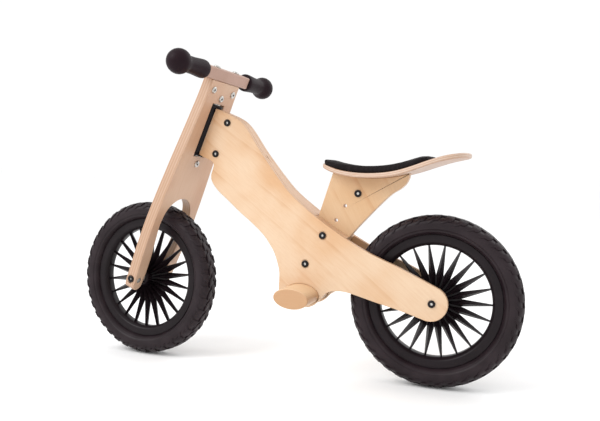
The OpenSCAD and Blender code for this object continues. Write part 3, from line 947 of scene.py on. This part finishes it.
@dataclass
class Fork:
    """The plywood panel that is the fork, and the handlebar bolted on top of it."""

    bar_up_mm: float = 422.3

    def build(self, bench: Bench, panel: bpy.types.Material, bar: bpy.types.Material,
              rubber: bpy.types.Material) -> None:
        """Builds the pieces.

        Args:
            bench: where pieces are made.
            panel: the panel's finish.
            bar: the handlebar's finish.
            rubber: the grips' material.
        """
        place = fork_place()
        back = place.inverted()
        ahead = place.to_3x3() @ Vector((1, 0, 0))
        Board("fork_panel", Part.FORK, panel, lambda p: (back @ p).x, lambda _: ahead, 1.6).build(bench)
        Board("handlebar", Part.FORK, bar, lambda p: (back @ p).z, lambda _: ahead, 2.2,
              "solid_wood").build(bench)
        for side in (1, -1):
            Grip().build(bench, side, self.bar_up_mm * MM, rubber)


# ---- small hardware ----

@dataclass
class Hardware:
    """Bolts, nuts, dowels and the moulded block: the CAD shapes with their edges eased."""

    ease_mm: float = 0.35
    socket_mm2: tuple[float, float] = (15.0, 20.0)      # area of a socket's six-cornered floor
    groups: dict[tuple[str, Part], list[str]] = field(default_factory=lambda: {
        ("black_hardware", Part.FRAME): ["head_bolts", "head_nuts", "seat_bolts", "seat_nuts", "seat_dowel",
                                         "rear_axle", "rear_axle_nut"],
        ("black_hardware", Part.FORK): ["front_axle", "front_axle_nut"],
        ("bright_hardware", Part.FORK): ["panel_dowels", "leg_dowels", "handlebar_bolts", "pivot_rod",
                                         "pivot_washers", "front_spacers"],
        ("bright_hardware", Part.FRAME): ["rear_washers", "seat_screw"],
        ("moulded_plastic", Part.FRAME): ["pivot_block"],
    })

    def build(self, bench: Bench, finishes: dict[str, bpy.types.Material]) -> None:
        """Builds the pieces.

        Args:
            bench: where pieces are made.
            finishes: record slot to material.
        """
        for (slot, part), nodes in self.groups.items():
            # the second finish paints light on socket floors: a painted glint of bright steel in black heads,
            # painted shade of black steel in bright ones
            socket_paint = "bright_hardware" if slot == "black_hardware" else "black_hardware"
            for node in nodes:
                mesh = copied([node])
                soften(mesh, self.ease_mm, 2, 50.0)
                self.paint_socket_glint_and_shade(mesh)
                piece = bench.finish(mesh, node + "_eased", part, finishes[slot], [node])
                piece.data.materials.append(finishes[socket_paint])

    def paint_socket_glint_and_shade(self, mesh: bmesh.types.BMesh) -> None:
        """Paints light on each socket's floor with the second finish: a painted glint of bright steel in
        black heads, painted shade of black steel in bright ones.

        Args:
            mesh: the piece's mesh.
        """
        low, high = self.socket_mm2
        for face in mesh.faces:
            if len(face.verts) == 6 and low < face.calc_area() / MM ** 2 < high:
                corners = [math.degrees(loop.calc_angle()) for loop in face.loops]
                if all(abs(corner - 120) < 1 for corner in corners):
                    # the socket's floor takes the second finish: painted glint in a black head, painted shade
                    # in a bright one
                    face.material_index = 1

    def dress(self, nodes: Sequence[str], material: bpy.types.Material) -> None:
        """Gives CAD nodes that stay as they are their material.

        Args:
            nodes: the nodes.
            material: their finish.
        """
        for node in nodes:
            data = frame["nodes"][node].data
            data.materials.clear()
            data.materials.append(material)


# ---- studio ----

@dataclass
class Studio:
    """A pale floor, soft light and the camera."""

    eye: tuple[float, float, float] = (-0.4715, 1.2328, 0.3656)
    yaw: float = -70.346
    pitch: float = -3.090
    roll: float = 1.487
    lens: float = 42.915
    glow: float = 1.02          # strength of the white surround
    looks_at: tuple[float, float, float] = (0.0, 0.0, 0.25)

    def camera(self) -> None:
        """Places the camera."""
        yaw, pitch, roll = (math.radians(a) for a in (self.yaw, self.pitch, self.roll))
        look = Vector((math.cos(pitch) * math.cos(yaw), math.cos(pitch) * math.sin(yaw), math.sin(pitch)))
        level = Vector((math.sin(yaw), -math.cos(yaw), 0.0))
        over = level.cross(look)
        right = math.cos(roll) * level + math.sin(roll) * over
        up = -math.sin(roll) * level + math.cos(roll) * over
        data = bpy.data.cameras.new("camera")
        data.lens, data.sensor_width = self.lens, 36.0
        camera = bpy.data.objects.new("camera", data)
        camera.matrix_world = Matrix.Translation(self.eye) @ Matrix((right, up, -look)).transposed().to_4x4()
        bpy.context.scene.collection.objects.link(camera)
        bpy.context.scene.camera = camera

    def floor(self) -> None:
        """Lays the floor."""
        mesh = bmesh.new()
        bmesh.ops.create_grid(mesh, x_segments=2, y_segments=2, size=30.0)
        data = bpy.data.meshes.new("floor")
        mesh.to_mesh(data)
        mesh.free()
        floor = bpy.data.objects.new("floor", data)
        bpy.context.scene.collection.objects.link(floor)
        material, tree, shader = fresh("pale_studio_paper")
        coords = add(tree, "ShaderNodeTexCoord").outputs["Object"]
        tooth = add(tree, "ShaderNodeTexNoise", {"Vector": coords, "Scale": 900.0}).outputs[0]
        colour = blend(tree, tooth, linear("#FFFFFF"), linear("#FDFDFD"))
        tree.links.new(colour, shader.inputs["Base Color"])
        shader.inputs["Roughness"].default_value = 0.9
        shader.inputs["Specular IOR Level"].default_value = 0.1
        data.materials.append(material)

    def lamp(self, name: str, eye: tuple[float, float, float], size: float, watts: float) -> None:
        """Hangs a soft square lamp that faces the bike.

        Args:
            name: its name.
            eye: where it hangs.
            size: its side, in metres.
            watts: its power.
        """
        data = bpy.data.lights.new(name, "AREA")
        data.size, data.energy = size, watts
        lamp = bpy.data.objects.new(name, data)
        turn = (Vector(self.looks_at) - Vector(eye)).to_track_quat("-Z", "Y")
        lamp.matrix_world = Matrix.Translation(eye) @ turn.to_matrix().to_4x4()
        bpy.context.scene.collection.objects.link(lamp)

    def light(self) -> None:
        """Lights the scene: an even white surround, a key lamp and a weaker one behind."""
        scene = bpy.context.scene
        scene.view_settings.view_transform = "Standard"
        world = bpy.data.worlds.new("white_surround")
        scene.world = world
        world.use_nodes = True
        back = next(n for n in world.node_tree.nodes if n.type == "BACKGROUND")
        back.inputs["Color"].default_value = (1.0, 1.0, 1.0, 1.0)
        back.inputs["Strength"].default_value = self.glow
        self.lamp("key", (1.5, 1.7, 2.0), 1.6, 42.0)
        self.lamp("back", (-1.2, -1.6, 1.6), 1.8, 12.0)


def main() -> None:
    """Builds the studio and every piece of the bike."""
    logging.basicConfig(level=logging.INFO, format="%(message)s")
    studio = Studio()
    studio.camera()
    studio.floor()
    studio.light()
    bench = Bench()
    plates = Birch("birch_plywood_plates").make()
    post = Birch("birch_plywood_post", Run.UP_POST, pale="#D2B08A", warm="#C9A278").make()
    # the fork's birch is darker and pinker than the plates': partly the panel's own tone, partly painted
    # shade of its rear face, which stands in shade
    panel = Birch("birch_plywood_fork", Run.UP_FORK, pale="#C9A88E", warm="#C1997D", growth="#AC8159",
                  edge_pale="#BC9C84", edge_dark="#B08B70").make()
    board = Birch("birch_plywood_seat", Run.LENGTHWISE, pale="#BF9F89", warm="#B68F76", edge_pale="#C8B3A2",
                  edge_dark="#BA9A84", ply_mm=1.7).make()
    bar = Birch("beech_bar", Run.UP_FORK, pale="#B08D7E", warm="#A27E6B", growth="#906C59",
                edge_pale="#B2907E", edge_dark="#AC8875", ply_mm=SOLID).make()
    rest = Birch("beech_footrest", Run.LENGTHWISE, pale="#E6C7A2", warm="#DDB68E", edge_pale="#BE946D",
                 edge_dark="#B88D67", ply_mm=SOLID).make()
    foam = Foam("eva_foam_tyre", gloss=0.22).make()
    grips = Foam("rubber_grip", base="#1E1217", worn="#24181D", grain_mm=2.2, rough=0.42, pore_mm=0.08,
                 gloss=0.08).make()
    moulding = Foam("moulded_nylon", base="#150E11", worn="#1B1317", grain_mm=0.9, rough=0.34, pore_mm=0.05,
                    gloss=0.18).make()
    finishes = {
        # black oxide steel also paints shade on bright heads' socket floors, and zinc plated steel paints a
        # glint on black heads' socket floors
        "black_hardware": Metal("black_oxide_steel_and_painted_socket_shade", base="#1E1B1C", metallic=0.7, rough=0.3).make(),
        "bright_hardware": Metal("zinc_plated_steel_and_painted_socket_glint").make(),
        "moulded_plastic": moulding,
    }
    WoodenFrame().build(bench, plates, post)
    seat = Seat()
    seat.board(bench, board)
    seat.pad(bench, Weave("woven_polyester_cover").make())
    Board("footrest", Part.FRAME, rest, lambda p: p.z, lambda _: Vector((0, 0, 1)), 2.5,
          "solid_wood").build(bench)
    Fork().build(bench, panel, bar, grips)
    rear = Matrix.Translation(joint("rear_wheel_spin")["pos_m"])
    Wheel("rear", Part.REAR_WHEEL, rear).build(bench, foam, moulding)
    front = fork_place()
    Wheel("front", Part.FRONT_WHEEL, front, -4.4).build(bench, foam, moulding)
    hardware = Hardware()
    hardware.build(bench, finishes)
    acetal = Foam("acetal_bush", base="#CFCBC0", worn="#DAD6CC").make()
    hardware.dress(["rear_bushes", "front_bushes"], acetal)
    log.info("%d pieces made", bench.made)


if __name__ == "__main__":
    main()
